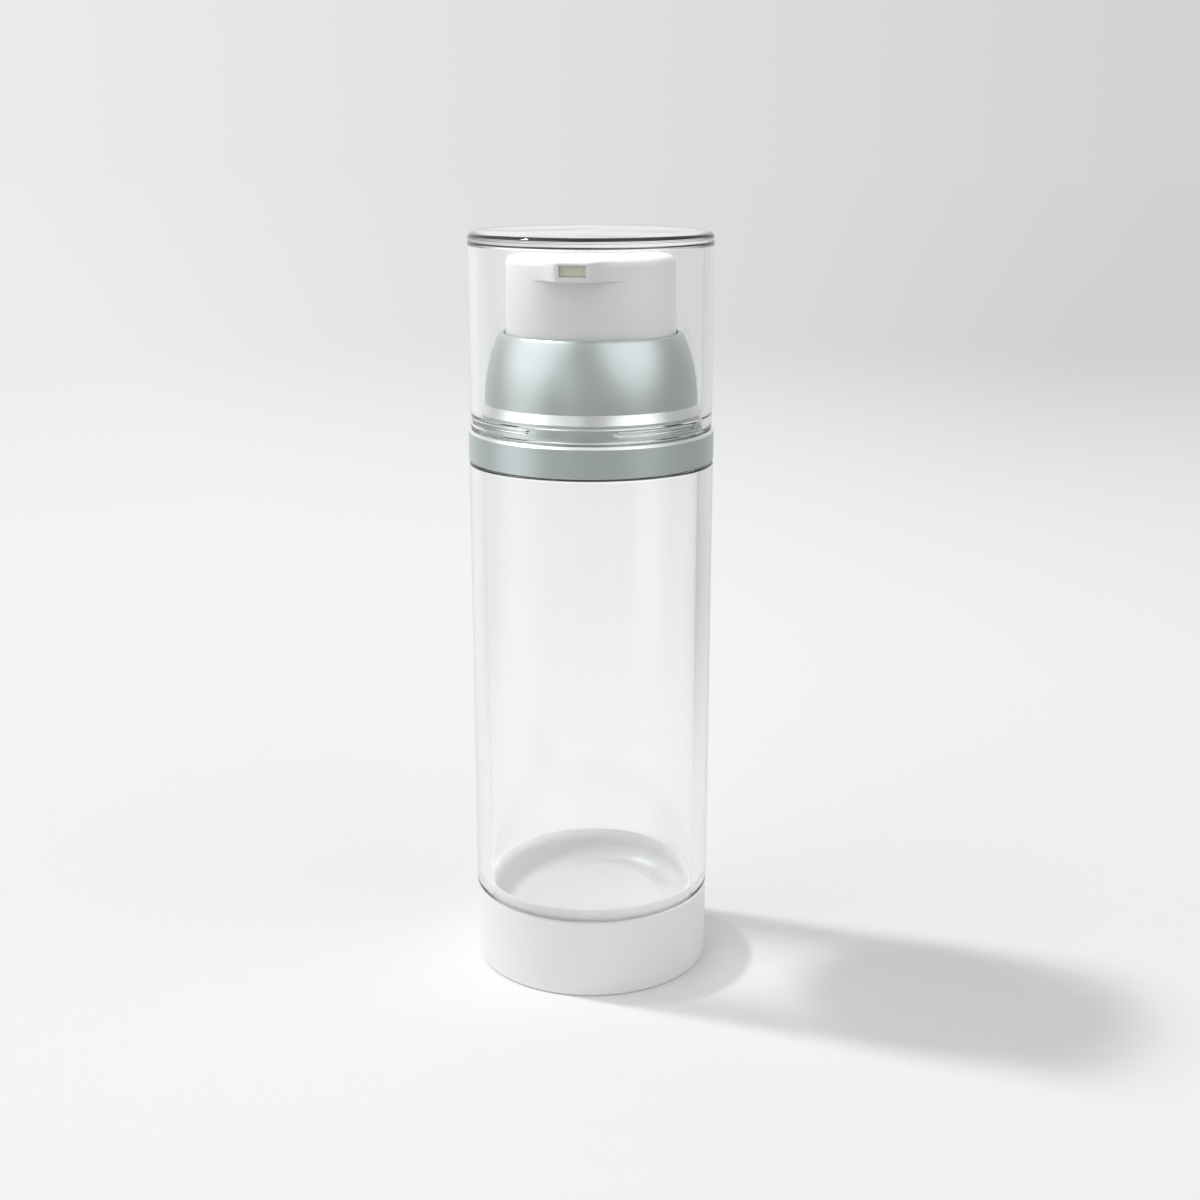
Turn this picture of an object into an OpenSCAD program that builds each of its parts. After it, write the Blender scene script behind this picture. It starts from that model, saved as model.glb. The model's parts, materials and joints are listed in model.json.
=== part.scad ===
// Airless pump bottle: a clear barrel whose follower rises under a pump head that snaps onto its neck
// Millimetres, +Z up, origin at the centre of the foot, the spout faces -Y

/* [Barrel] */
// Outer diameter of the clear barrel
body_d = 38; // [37:0.5:42]
// Height of the clear barrel that shows between base cup and band
barrel_h = 70.5; // [45:0.5:110]
// Wall thickness of the barrel
barrel_wall = 2.3; // [1.8:0.1:2.6]
// Thickness of the shoulder that closes the barrel
shoulder_t = 2.2; // [1.6:0.1:3]
// Height of the rebate at the barrel's top that the band slips over
band_seat_h = 2.4; // [2:0.1:2.6]
// Radius that rounds the barrel's top edge under the band
shoulder_round = 0.4; // [0.2:0.1:0.5]
// Height of the neck above the shoulder
neck_h = 5.5; // [5.2:0.1:7]
// Wall thickness of the neck
neck_wall = 1.9; // [1.5:0.1:2.4]
// How far the snap bead stands out of the neck
neck_bead = 0.5; // [0.3:0.1:0.7]
// Wall of the rebated foot that plugs into the base cup
foot_wall = 0.9; // [0.7:0.1:1.2]

/* [Base cup] */
// Height of the base cup
base_h = 12.6; // [10:0.1:20]
// Thickness of the base cup's floor
base_floor = 1.2; // [0.9:0.1:2]
// Height of the foot ring under the floor
foot_recess = 0.9; // [0.4:0.1:1.5]
// Width of the foot ring
foot_ring_w = 2.6; // [1.5:0.1:4]
// Height of the ribs that the follower rests on
stop_h = 1.85; // [1:0.05:3]
// Number of those ribs
stop_count = 6; // [3:1:10]
// Diameter of the vent hole
vent_d = 1.5; // [0.8:0.1:2.5]

/* [Follower] */
// Height of the follower
follower_h = 10.3; // [9.5:0.1:14]
// Wall thickness of the follower
follower_wall = 1.1; // [0.8:0.1:1.4]
// Depth of the follower's dish from its rim to its annular floor
dish_depth = 4; // [3:0.1:4.6]
// Radius of the raised edge round the dished centre
dish_edge_r = 11.2; // [9:0.1:12]
// How far the centre lies under that edge
dish_sag = 1.4; // [0.8:0.1:1.8]

/* [Shoulder ring and band] */
// Height of the silver band
band_h = 5.1; // [4.6:0.1:8]
// Wall thickness of the band
band_t = 0.7; // [0.4:0.1:0.9]
// Chamfer on both edges of the band
band_chamfer = 0.4; // [0.15:0.05:0.4]
// How far the band stands out over the barrel
band_proud = 0.05; // [0:0.05:0.3]
// Height of the spigot that the overcap snaps over
spigot_h = 4.3; // [3.8:0.1:6]
// Wall of that spigot
spigot_wall = 1.15; // [0.9:0.05:1.3]
// How far the spigot's snap flange stands out
spigot_flange = 0.25; // [0.1:0.05:0.4]

/* [Collar] */
// Wall thickness of the bell-shaped collar shell
shell_t = 0.9; // [0.6:0.05:1.1]
// Width of the shell's rim round the button
lip_w = 0.7; // [0.5:0.05:1]
// Wall of the shell's inner grip skirt
grip_wall = 0.7; // [0.5:0.05:0.8]
// Wall of the snap collar
snap_wall = 0.8; // [0.6:0.05:1]
// Thickness of the snap collar's deck over the pump flange
deck_t = 1; // [0.8:0.05:1.4]
// Number of slots that let the snap collar spread
snap_slots = 6; // [4:1:10]

/* [Overcap] */
// Wall thickness of the overcap
cap_wall = 1.6; // [1.2:0.05:1.8]
// Thickness of the overcap's top
cap_top_t = 1.6; // [1.2:0.1:3]
// Radius that rounds the overcap's top edge
cap_round = 0.9; // [0.4:0.1:1.2]
// How far the overcap's wall lies inside the barrel's outline
cap_step = 0.25; // [0:0.05:0.5]
// Free height over the button inside the overcap
cap_headroom = 1.9; // [1:0.1:6]
// How far the overcap's snap bead stands in
cap_bead = 0.2; // [0.1:0.05:0.3]
// Length of each of the bead's four stretches, in degrees
cap_bead_arc = 50; // [30:1:70]

/* [Button] */
// Diameter of the button at its skirt
button_d = 26.3; // [25:0.1:26.8]
// How much narrower the button is at its top
button_draft = 0.5; // [0:0.1:1]
// Height of the button
button_h = 14.9; // [14.4:0.1:19]
// Radius that rounds the button's top edge
button_round = 1.1; // [0.5:0.1:1.5]
// Wall thickness of the button
button_wall = 1.3; // [1:0.1:1.6]
// Depth of the button's skirt inside the shell's rim at rest
skirt_cover = 3.4; // [2.6:0.1:5]
// Number of ribs under the button's top
button_ribs = 6; // [3:1:8]

/* [Spout] */
// Width of the spout's opening
slot_w = 3.85; // [3:0.05:4.5]
// Height of the spout's opening
slot_h = 1.65; // [1.2:0.05:1.9]
// Wall over the opening
spout_roof = 0.5; // [0.4:0.05:0.9]
// Wall under the opening
spout_floor = 0.9; // [0.6:0.05:1]
// Wall beside the opening
spout_side = 0.6; // [0.5:0.05:1]
// Width of the spout where it leaves the button
spout_root_w = 11; // [8:0.1:13]
// Depth of the nozzle insert
insert_l = 3; // [2:0.1:4]
// How far the insert lies behind the spout's face
insert_set_back = 0.6; // [0.2:0.1:1.5]
// Height of the insert's slit
slit_h = 0.15; // [0.1:0.05:0.6]

/* [Pump] */
// How far the button travels
stroke = 5; // [3:0.1:5.4]
// How far the stem moves before it carries the stem piston along
seal_travel = 0.8; // [0.4:0.1:1]
// Bore of the pump chamber
chamber_d = 10.4; // [9.8:0.1:12]
// Wall thickness of the pump housing
pump_wall = 1.2; // [0.9:0.1:1.4]
// Thickness of the housing's flange
flange_t = 1.2; // [0.9:0.1:2]
// Thickness of the neck gasket
gasket_t = 0.8; // [0.5:0.1:1.2]
// Height of the chamber tube over its flange
tube_rise = 3.1; // [2.6:0.05:3.3]
// Height of the stem piston's hub
hub_h = 2.2; // [1.8:0.1:3]
// Height of the valve pin's head
pin_head_h = 1.3; // [0.8:0.1:2]
// Outer diameter of the stem
stem_d = 5.2; // [4.8:0.1:5.4]
// Bore of the stem
stem_bore = 2.8; // [2.2:0.1:3]
// Depth of the button's socket over the stem
socket_depth = 3.7; // [2.5:0.1:3.9]
// Height of the guide tower round the stem
tower_h = 2.6; // [1.5:0.1:4]
// Diameter of the inlet ball
ball_d = 3; // [2.6:0.1:3.2]
// How far the inlet ball lifts
ball_lift = 0.8; // [0.4:0.1:1.2]
// Thickness of the inlet cage's disc
cage_t = 0.9; // [0.7:0.1:1.4]

/* [Return spring] */
// Wire diameter
spring_wire = 0.8; // [0.6:0.05:0.9]
// Number of turns
spring_turns = 5; // [4:0.5:5.5]
// Gap between the end turns and their neighbours
spring_end_gap = 0.45; // [0.41:0.02:0.6]

/* [Clearances] */
// Radial clearance of what slides or turns
run_gap = 0.05; // [0.03:0.01:0.08]
// Radial clearance of what is pressed or snapped together
fit_gap = 0.1; // [0.05:0.01:0.15]
// Radial clearance between button and shell rim
button_gap = 0.25; // [0.15:0.05:0.5]
// Gap between overcap and band
cap_gap = 0.3; // [0.1:0.05:1]
// Gap between the spout's tip and the overcap's snap bead, which passes it
spout_gap = 0.75; // [0.3:0.05:1.5]
// Free gap left at the end of a travel
end_gap = 0.2; // [0.1:0.05:0.5]
// Gap between two moving faces that meet at rest
face_gap = 0.05; // [0.02:0.01:0.1]
// Gap between the pressed button's skirt and the snap collar's deck
press_gap = 0.6; // [0.3:0.1:1.5]

/* [Hidden] */
$fn = 96;

clear_san = [0.88, 0.93, 0.94, 0.3];
white_pp = [0.95, 0.95, 0.94];
natural_pp = [0.86, 0.87, 0.85];
satin_silver = [0.68, 0.72, 0.72];
soft_pe = [0.80, 0.83, 0.86];
nozzle_beige = [0.69, 0.69, 0.61];
spring_steel = [0.60, 0.61, 0.62];

// Small amount by which a cut runs past the face it opens
over = 0.5;

// Details of barrel and base
foot_gap = 0.4;
bead_drop = 2.9;
bead_under = 0.8;
bead_over = 0.6;
base_step = 0.1;
base_round = 0.5;
stop_t = 0.9;

// Details of the closure
snap_lift = 0.4;
grip_lift = 2;
flange_chamfer_r = 0.35;
flange_chamfer_h = 1.5;
flange_lip_h = 0.7;

// Details of the pump
guide_wall = 0.95;
stop_step = 0.5;
stop_ring_h = 0.6;
head_step = 0.1;
inlet_floor_t = 1.2;
web_rise = 2.4;
chaplet_t = 1.2;
seat_share = 1.1;
inlet_share = 0.57;
socket_roof = 0.4;
spring_play = 0.3;

// Heights of barrel and base
floor_top = foot_recess + base_floor;
band_low = base_h + barrel_h;
shoulder_z = band_low + band_seat_h;
ceiling_z = shoulder_z - shoulder_t;
neck_top = shoulder_z + neck_h;
foot_low = floor_top + foot_gap;
follower_low = floor_top + stop_h + face_gap;
follower_top = follower_low + follower_h;
bead_z = neck_top - bead_drop;

// Heights of the closure
gasket_top = neck_top + gasket_t;
flange_top = gasket_top + flange_t;
deck_top = flange_top + deck_t;
snap_low = shoulder_z + snap_lift;
band_top = band_low + band_h;
shell_seat = band_top + spigot_h;

// Heights of button, shell and overcap
skirt_low = deck_top + stroke + press_gap;
lip_z = skirt_low + skirt_cover;
button_top = skirt_low + button_h;
cap_low = band_top + cap_gap;
cap_ceiling = button_top + cap_headroom;
cap_top = cap_ceiling + cap_top_t;

// Radii from the barrel inward
body_r = body_d / 2;
bore_r = body_r - barrel_wall;
foot_r = bore_r + foot_wall;
base_r = body_r - base_step;
base_bore_r = foot_r + run_gap;
follower_r = bore_r - run_gap;
band_r = body_r + band_proud;
band_bore_r = band_r - band_t;
band_seat_r = band_bore_r - run_gap;
cap_r = body_r - cap_step;
cap_bore_r = cap_r - cap_wall;
cap_bead_r = cap_bore_r - cap_bead;
spigot_flange_r = cap_bead_r - fit_gap;
spigot_r = spigot_flange_r - spigot_flange;
spigot_bore_r = spigot_r - spigot_wall;
shell_foot_r = spigot_flange_r - flange_chamfer_r;
grip_r = spigot_bore_r - fit_gap;
grip_bore_r = grip_r - grip_wall;
snap_r = grip_bore_r - run_gap;
snap_bore_r = snap_r - snap_wall;
neck_bead_r = snap_bore_r - fit_gap;
neck_r = neck_bead_r - neck_bead;
neck_bore_r = neck_r - neck_wall;

// Radii of button and shell rim
button_r = button_d / 2;
button_bore_r = button_r - button_wall;
lip_bore_r = button_r + button_gap;
lip_r = lip_bore_r + lip_w;

// The bell's outline is one arc that leaves the shell's foot upright and ends at its rim
bell_h = lip_z - shell_seat;
bell_in = shell_foot_r - lip_r;
bell_arc = (bell_h * bell_h + bell_in * bell_in) / (2 * bell_in);

// Radii of the pump
chamber_r = chamber_d / 2;
tube_r = chamber_r + pump_wall;
plug_r = neck_bore_r - fit_gap;
plug_bore_r = plug_r - pump_wall;
stem_r = stem_d / 2;
stem_bore_r = stem_bore / 2;
guide_r = stem_r + run_gap;
tower_r = guide_r + guide_wall;
stop_r = stem_r + stop_step;
hub_r = guide_r + guide_wall;
pin_head_r = hub_r + head_step;
ball_r = ball_d / 2;
chaplet_r = tube_r + fit_gap + chaplet_t;

// Heights inside the pump, from the chaplet down to the inlet
tube_top = flange_top + tube_rise;
stop_top = tube_top - face_gap;
stop_low = stop_top - stop_ring_h;
hub_top = stop_low - seal_travel;
hub_low = hub_top - hub_h;
pin_top = hub_low - face_gap / 2;
pin_low = pin_top - pin_head_h;
cage_top = pin_low - stroke - end_gap;
cage_low = cage_top - cage_t;
ball_z = cage_low - end_gap / 2 - ball_lift - ball_r;
seat_apex = ball_z - (ball_r + face_gap / 2) * sqrt(2);
seat_top_r = ball_r * seat_share;
inlet_r = ball_r * inlet_share;
inlet_floor_top = seat_apex + seat_top_r;
housing_low = inlet_floor_top - inlet_floor_t;
web_low = housing_low + web_rise;

// Heights in the button, from its top down to the spring
ceiling_button = button_top - button_wall;
slot_top = button_top - spout_roof;
slot_low = slot_top - slot_h;
spout_low = slot_low - spout_floor;
stem_top = spout_low - socket_roof;
stem_low = pin_top + face_gap / 2;
boss_low = stem_top - socket_depth;
spring_seat = tube_top + chaplet_t;
spring_len = boss_low - spring_seat;

// Spring and boss
spring_r = tower_r + spring_play + spring_wire / 2;
boss_r = spring_r + spring_wire / 2 + end_gap;

// The spout ends short of the overcap's bead
spout_w = slot_w + 2 * spout_side;
spout_tip = sqrt(pow(cap_bead_r - spout_gap, 2) - pow(spout_w / 2, 2));

// Half section of a ring between two radii and two heights
module ring2d(r_in, r_out, z_low, z_high) {
  translate([r_in, z_low])
    square([r_out - r_in, z_high - z_low]);
}

// Half section of a disc whose top edge is rounded
module disc2d(r, z_low, z_high, edge) {
  ring2d(0, r, z_low, z_high - edge);
  ring2d(0, r - edge, z_low, z_high);
  translate([r - edge, z_high - edge])
    circle(edge);
}

// Clear barrel, rebated at its foot for the base cup and at its top for the band, with shoulder and neck
module bottle_body() {
  color(clear_san)
    rotate_extrude()
      difference() {
        union() {
          disc2d(body_r, base_h, band_low, shoulder_round);
          ring2d(0, foot_r, foot_low, base_h + over);
          ring2d(0, band_seat_r, band_low - over, shoulder_z);
          ring2d(0, neck_r, shoulder_z - over, neck_top);
          translate([neck_r, bead_z])
            polygon([
              [-over, -bead_under],
              [0, -bead_under],
              [neck_bead, neck_bead - bead_under],
              [neck_bead, 0],
              [0, bead_over],
              [-over, bead_over]
            ]);
        }
        ring2d(0, bore_r, foot_low - over, ceiling_z);
        ring2d(0, neck_bore_r, ceiling_z - over, neck_top + over);
      }
}

// White base cup: foot ring, floor, vent hole and the ribs that stop the follower
module base_cup() {
  rib_in = 4;
  rib_out = follower_r - 2;
  root = 0.3;
  color(white_pp)
    difference() {
      union() {
        rotate_extrude()
          difference() {
            union() {
              ring2d(0, base_r - base_round, 0, base_h);
              ring2d(0, base_r, base_round, base_h);
              translate([base_r - base_round, base_round])
                circle(base_round);
            }
            ring2d(0, base_bore_r, floor_top, base_h + over);
            ring2d(0, base_r - foot_ring_w, -over, foot_recess);
          }
        for (i = [0 : stop_count - 1])
          rotate([0, 0, i * 360 / stop_count])
            translate([rib_in, -stop_t / 2, floor_top - root])
              cube([rib_out - rib_in, stop_t, stop_h + root]);
      }
      translate([0, 0, -over])
        cylinder(r = vent_d / 2, h = floor_top + 2 * over);
    }
}

// White follower: two sealing lips and a dished top, hollow from below
module follower_piston() {
  dish_wall_r = follower_r - follower_wall;
  dish_z = follower_top - dish_depth;
  edge_drop = 0.8;
  edge_z = dish_z - edge_drop;
  wall_lean = 1.2;
  foot_in = dish_wall_r - wall_lean;
  bowl = (dish_edge_r * dish_edge_r + dish_sag * dish_sag) / (2 * dish_sag);
  bowl_z = edge_z - dish_sag;
  lip_h = 1.4;
  relief = 0.35;
  bevel = 0.25;
  corner = 0.35;
  web_t = 1.3;
  color(white_pp)
    rotate_extrude()
      difference() {
        union() {
          disc2d(follower_r, follower_top - lip_h, follower_top, relief);
          ring2d(0, follower_r - relief, follower_low, follower_top - relief - bevel);
          ring2d(0, follower_r, follower_low, follower_low + lip_h);
        }
        polygon([
          [0, follower_top + over],
          [dish_wall_r, follower_top + over],
          [dish_wall_r, follower_top - bevel],
          [dish_wall_r - corner, follower_top - wall_lean],
          [foot_in, dish_z + corner],
          [foot_in - corner - bevel, dish_z],
          [dish_edge_r + bevel, edge_z + bevel],
          [dish_edge_r, edge_z],
          [0, edge_z]
        ]);
        intersection() {
          translate([0, bowl_z + bowl])
            circle(bowl, $fn = 180);
          ring2d(0, dish_edge_r, bowl_z - over, edge_z + over);
        }
        polygon([
          [0, follower_low - over],
          [dish_wall_r - corner, follower_low - over],
          [dish_wall_r - corner, edge_z - edge_drop],
          [foot_in - edge_drop, edge_z - edge_drop + bevel],
          [dish_edge_r, edge_z - web_t],
          [dish_edge_r * 0.6, bowl_z - web_t / 2],
          [0, bowl_z - web_t + bevel]
        ]);
      }
}

// Silver ring on the shoulder: it carries the band and the overcap snaps over its spigot
module shoulder_ring() {
  core_w = 1.2;
  core_roof = 1.3;
  core_r = (spigot_r + band_bore_r) / 2;
  chamfer_z = shell_seat - flange_chamfer_h;
  color(satin_silver)
    rotate_extrude()
      difference() {
        union() {
          ring2d(spigot_bore_r, band_seat_r, shoulder_z, band_top);
          ring2d(spigot_bore_r, spigot_r, band_top - over, shell_seat);
          polygon([
            [spigot_bore_r, chamfer_z - flange_lip_h],
            [spigot_flange_r, chamfer_z - flange_lip_h],
            [spigot_flange_r, chamfer_z],
            [shell_foot_r, shell_seat],
            [spigot_bore_r, shell_seat]
          ]);
        }
        ring2d(core_r - core_w / 2, core_r + core_w / 2, shoulder_z - over, band_top - core_roof);
      }
}

// Silver band pressed over the shoulder ring and the barrel's rebate
module band_ring() {
  color(satin_silver)
    rotate_extrude()
      polygon([
        [band_bore_r, band_low],
        [band_r - band_chamfer, band_low],
        [band_r, band_low + band_chamfer],
        [band_r, band_top - band_chamfer],
        [band_r - band_chamfer, band_top],
        [band_bore_r, band_top]
      ]);
}

// Silver bell round the button, with the inner skirt that grips the snap collar
module collar_shell() {
  grip_low = snap_low + grip_lift;
  bell_x = shell_foot_r - bell_arc;
  deck_out = shell_foot_r - shell_t + 0.2;
  deck_h = 0.8;
  lip_chamfer = 0.2;
  color(satin_silver)
    rotate_extrude() {
      intersection() {
        difference() {
          translate([bell_x, shell_seat])
            circle(bell_arc, $fn = 360);
          translate([bell_x, shell_seat])
            circle(bell_arc - shell_t, $fn = 360);
        }
        polygon([
          [lip_bore_r, shell_seat],
          [shell_foot_r + over, shell_seat],
          [shell_foot_r + over, lip_z - lip_chamfer],
          [lip_r, lip_z - lip_chamfer],
          [lip_r - lip_chamfer, lip_z],
          [lip_bore_r, lip_z]
        ]);
      }
      ring2d(grip_bore_r, deck_out, shell_seat, shell_seat + deck_h);
      ring2d(grip_bore_r, grip_r, grip_low, shell_seat + deck_h);
    }
}

// Snap collar: hooks under the neck's bead and holds the pump's flange down with its deck
module snap_collar() {
  hook_r = neck_r + fit_gap;
  hook_top = bead_z - bead_under - fit_gap;
  hook_lead = 0.6;
  slot_wide = 1.2;
  slot_top = hook_top + slot_wide;
  color(natural_pp)
    difference() {
      rotate_extrude()
        difference() {
          ring2d(plug_bore_r, snap_r, snap_low, deck_top);
          polygon([
            [0, snap_low - over],
            [hook_r + hook_lead, snap_low - over],
            [hook_r + hook_lead, snap_low],
            [hook_r, snap_low + hook_lead],
            [hook_r, hook_top - hook_lead / 2],
            [snap_bore_r, hook_top],
            [snap_bore_r, flange_top],
            [0, flange_top]
          ]);
        }
      for (i = [0 : snap_slots - 1])
        rotate([0, 0, i * 360 / snap_slots])
          translate([hook_r - over, -slot_wide / 2, snap_low - over])
            cube([snap_r, slot_wide, slot_top - snap_low + over]);
    }
}

// Flat gasket between the neck and the pump's flange
module neck_gasket() {
  color(soft_pe)
    rotate_extrude()
      ring2d(plug_r + run_gap, neck_r, neck_top, gasket_top);
}

// Pump housing: flange, plug wall in the neck, chamber tube and the inlet valve's seat
module pump_housing() {
  lead = 0.4;
  rim_round = 0.3;
  color(natural_pp)
    rotate_extrude()
      difference() {
        union() {
          ring2d(plug_bore_r, snap_bore_r - fit_gap, gasket_top, flange_top);
          ring2d(plug_bore_r, plug_r, web_low + lead, flange_top);
          polygon([
            [0, web_low],
            [plug_r - lead, web_low],
            [plug_r, web_low + lead],
            [plug_r, web_low + pump_wall],
            [0, web_low + pump_wall]
          ]);
          disc2d(tube_r, housing_low + lead, tube_top, rim_round);
          ring2d(0, tube_r - lead, housing_low, tube_top - 2 * rim_round);
        }
        ring2d(0, chamber_r, inlet_floor_top, tube_top + over);
        polygon([
          [0, housing_low - over],
          [inlet_r, housing_low - over],
          [inlet_r, seat_apex + inlet_r],
          [seat_top_r, inlet_floor_top],
          [seat_top_r, inlet_floor_top + over],
          [0, inlet_floor_top + over]
        ]);
      }
}

// Chaplet: caps the chamber tube, guides the stem and seats the return spring
module chaplet() {
  skirt_h = 3;
  color(natural_pp)
    rotate_extrude() {
      ring2d(tube_r + fit_gap, chaplet_r, tube_top - skirt_h, spring_seat);
      ring2d(guide_r, chaplet_r, tube_top, spring_seat);
      ring2d(guide_r, tower_r, tube_top, spring_seat + tower_h);
    }
}

// Inlet cage: four fingers round the ball and a pierced disc that limits its lift
module inlet_cage() {
  cage_r = chamber_r - run_gap;
  cage_wall = 0.7;
  finger_bore_r = ball_r + fit_gap;
  finger_r = finger_bore_r + cage_wall;
  finger_gap = 1.2;
  flow_hole_r = 0.6;
  flow_holes = 6;
  color(natural_pp)
    difference() {
      rotate_extrude() {
        ring2d(0, cage_r, cage_low, cage_top);
        ring2d(cage_r - cage_wall, cage_r, inlet_floor_top, cage_top);
        ring2d(finger_bore_r, finger_r, inlet_floor_top + over, cage_top);
      }
      for (i = [0 : flow_holes - 1])
        rotate([0, 0, i * 360 / flow_holes])
          translate([(finger_r + cage_r - cage_wall) / 2, 0, cage_low - over])
            cylinder(r = flow_hole_r, h = cage_t + 2 * over);
      for (a = [0, 90])
        rotate([0, 0, a])
          translate([-finger_r - fit_gap, -finger_gap / 2, inlet_floor_top])
            cube([2 * (finger_r + fit_gap), finger_gap, cage_low - inlet_floor_top]);
      translate([0, 0, cage_low - over])
        cylinder(r = ball_r / 2, h = cage_t + 2 * over);
    }
}

// Steel ball of the inlet valve, resting just off its cone
module inlet_ball() {
  color(spring_steel)
    translate([0, 0, ball_z])
      sphere(ball_r);
}

// Hollow stem with a stop ring and four ports at its foot
module stem() {
  port_w = 1;
  port_h = 1.2;
  color(natural_pp)
    difference() {
      rotate_extrude() {
        ring2d(stem_bore_r, stem_r, stem_low, stem_top);
        ring2d(stem_bore_r, stop_r, stop_low, stop_top);
      }
      for (a = [0, 90])
        rotate([0, 0, a])
          translate([-stem_r - over, -port_w / 2, stem_low - over])
            cube([2 * stem_r + 2 * over, port_w, port_h + over]);
    }
}

// Valve pin: its head carries and seals the stem piston, its cross-shaped shank plugs the stem
module valve_pin() {
  shank_r = stem_bore_r - run_gap;
  shank_t = 0.8;
  shank_l = 3.6;
  nose = 0.5;
  root = 0.2;
  color(natural_pp) {
    rotate_extrude()
      polygon([
        [0, pin_low],
        [pin_head_r - nose - root, pin_low],
        [pin_head_r, pin_low + nose],
        [pin_head_r, pin_top],
        [0, pin_top]
      ]);
    intersection() {
      translate([0, 0, pin_top - root])
        cylinder(r = shank_r, h = shank_l + root);
      union()
        for (a = [45, 135])
          rotate([0, 0, a])
            translate([-shank_r - over, -shank_t / 2, pin_top - root])
              cube([2 * (shank_r + over), shank_t, shank_l + root]);
    }
  }
}

// Stem piston: a hub that slides on the stem and two lips that seal the chamber
module stem_piston() {
  seal_r = chamber_r - run_gap;
  wall_t = 0.55;
  lip_t = 0.2;
  lip_h = 0.8;
  taper = 0.3;
  relief = 0.12;
  web_t = 0.8;
  seal_low = hub_low - web_t / 2;
  seal_top = tube_top - face_gap;
  web_z = hub_low + hub_h / 2;
  color(soft_pe)
    rotate_extrude() {
      ring2d(guide_r, hub_r, hub_low, hub_top);
      ring2d(guide_r, seal_r - wall_t / 2, web_z - web_t / 2, web_z + web_t / 2);
      polygon([
        [seal_r - wall_t, seal_low + lip_h - taper],
        [seal_r - lip_t, seal_low],
        [seal_r, seal_low],
        [seal_r, seal_low + lip_h],
        [seal_r - relief, seal_low + lip_h + taper],
        [seal_r - relief, seal_top - lip_h - taper],
        [seal_r, seal_top - lip_h],
        [seal_r, seal_top],
        [seal_r - lip_t, seal_top],
        [seal_r - wall_t, seal_top - lip_h + taper]
      ]);
    }
}

// Return spring: one unbroken wire whose end turns lie closer than its working turns
module return_spring() {
  steps = 16;
  sides = 8;
  rings = round(spring_turns * steps);
  end_pitch = spring_wire + spring_end_gap;
  rise = spring_len - spring_wire - 2 * face_gap;
  pitch = (rise - 2 * end_pitch) / (spring_turns - 2);
  function height(turn) =
    end_pitch * (min(turn, 1) + max(turn - spring_turns + 1, 0))
    + pitch * min(max(turn - 1, 0), spring_turns - 2);
  function centre(i) =
    [spring_r * cos(360 * i / steps), spring_r * sin(360 * i / steps),
     spring_seat + face_gap + spring_wire / 2 + height(i / steps)];
  function tube_point(i, k) =
    let (out = [cos(360 * i / steps), sin(360 * i / steps), 0])
    let (along = centre(min(i + 1, rings)) - centre(max(i - 1, 0)))
    let (side = cross(along / norm(along), out))
    centre(i) + spring_wire / 2 * (cos(360 * k / sides) * out + sin(360 * k / sides) * side);
  points = [for (i = [0 : rings], k = [0 : sides - 1]) tube_point(i, k)];
  walls = [
    for (i = [0 : rings - 1], k = [0 : sides - 1])
      let (a = i * sides + k, b = i * sides + (k + 1) % sides)
      each [[a, b, b + sides], [a, b + sides, a + sides]]
  ];
  first = [for (k = [1 : sides - 2]) [0, k + 1, k]];
  last = [for (k = [1 : sides - 2]) [rings * sides, rings * sides + k, rings * sides + k + 1]];
  gaps = [
    for (i = [0 : rings], j = [i + steps / 2 : rings])
      if (j <= rings) norm(centre(i) - centre(j)) - spring_wire
  ];
  echo(least_gap_between_turns = min(gaps));
  color(spring_steel)
    polyhedron(points, concat(walls, first, last), convexity = 8);
}

// Rounded plate across the spout, a slice of its hull
module spout_slice(y, width, low, high) {
  corner = 0.5;
  thick = 0.3;
  for (x = [-width / 2 + corner, width / 2 - corner], z = [low + corner, high - corner])
    translate([x, y, z])
      rotate([90, 0, 0])
        cylinder(r = corner, h = thick, center = true, $fn = 32);
}

// White button: skirt, top, spout with its duct, socket for the stem and ribs
module actuator() {
  top_r = button_r - button_draft / 2;
  root_y = sqrt(pow(top_r - over, 2) - pow(spout_root_w / 2, 2));
  tip_edge = 0.15;
  high = button_top - tip_edge;
  rib_h = 2.4;
  rib_t = 0.8;
  color(white_pp)
    difference() {
      union() {
        difference() {
          union() {
            rotate_extrude() {
              polygon([
                [0, skirt_low],
                [button_r, skirt_low],
                [top_r, button_top - button_round],
                [0, button_top - button_round]
              ]);
              disc2d(top_r, button_top - button_round - over, button_top, button_round);
            }
            hull() {
              spout_slice(tip_edge - spout_tip, spout_w - 2 * tip_edge, spout_low + tip_edge, high - tip_edge);
              spout_slice(3 * tip_edge - spout_tip, spout_w, spout_low, high);
              spout_slice(-root_y, spout_root_w, spout_low, high);
            }
          }
          rotate_extrude()
            disc2d(button_bore_r, skirt_low - over, ceiling_button, 0.5);
        }
        rotate_extrude()
          ring2d(0, boss_r, boss_low, ceiling_button + 0.2);
        translate([-spout_w / 2, -button_bore_r - 0.3, spout_low])
          cube([spout_w, button_bore_r + 0.3, ceiling_button + 0.2 - spout_low]);
        for (i = [0 : button_ribs - 1])
          rotate([0, 0, 90 + (i + 0.5) * 360 / button_ribs])
            translate([boss_r - over, -rib_t / 2, ceiling_button - rib_h])
              cube([button_bore_r + 2 * over - boss_r, rib_t, rib_h + 0.2]);
      }
      translate([0, 0, boss_low - over])
        cylinder(r = guide_r, h = stem_top + face_gap - boss_low + over);
      translate([0, 0, stem_top - over])
        cylinder(r = stem_bore_r, h = slot_low + slot_h / 2 - stem_top + over);
      translate([-slot_w / 2, -spout_tip - over, slot_low])
        cube([slot_w, spout_tip + over + stem_bore_r, slot_h]);
    }
}

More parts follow.
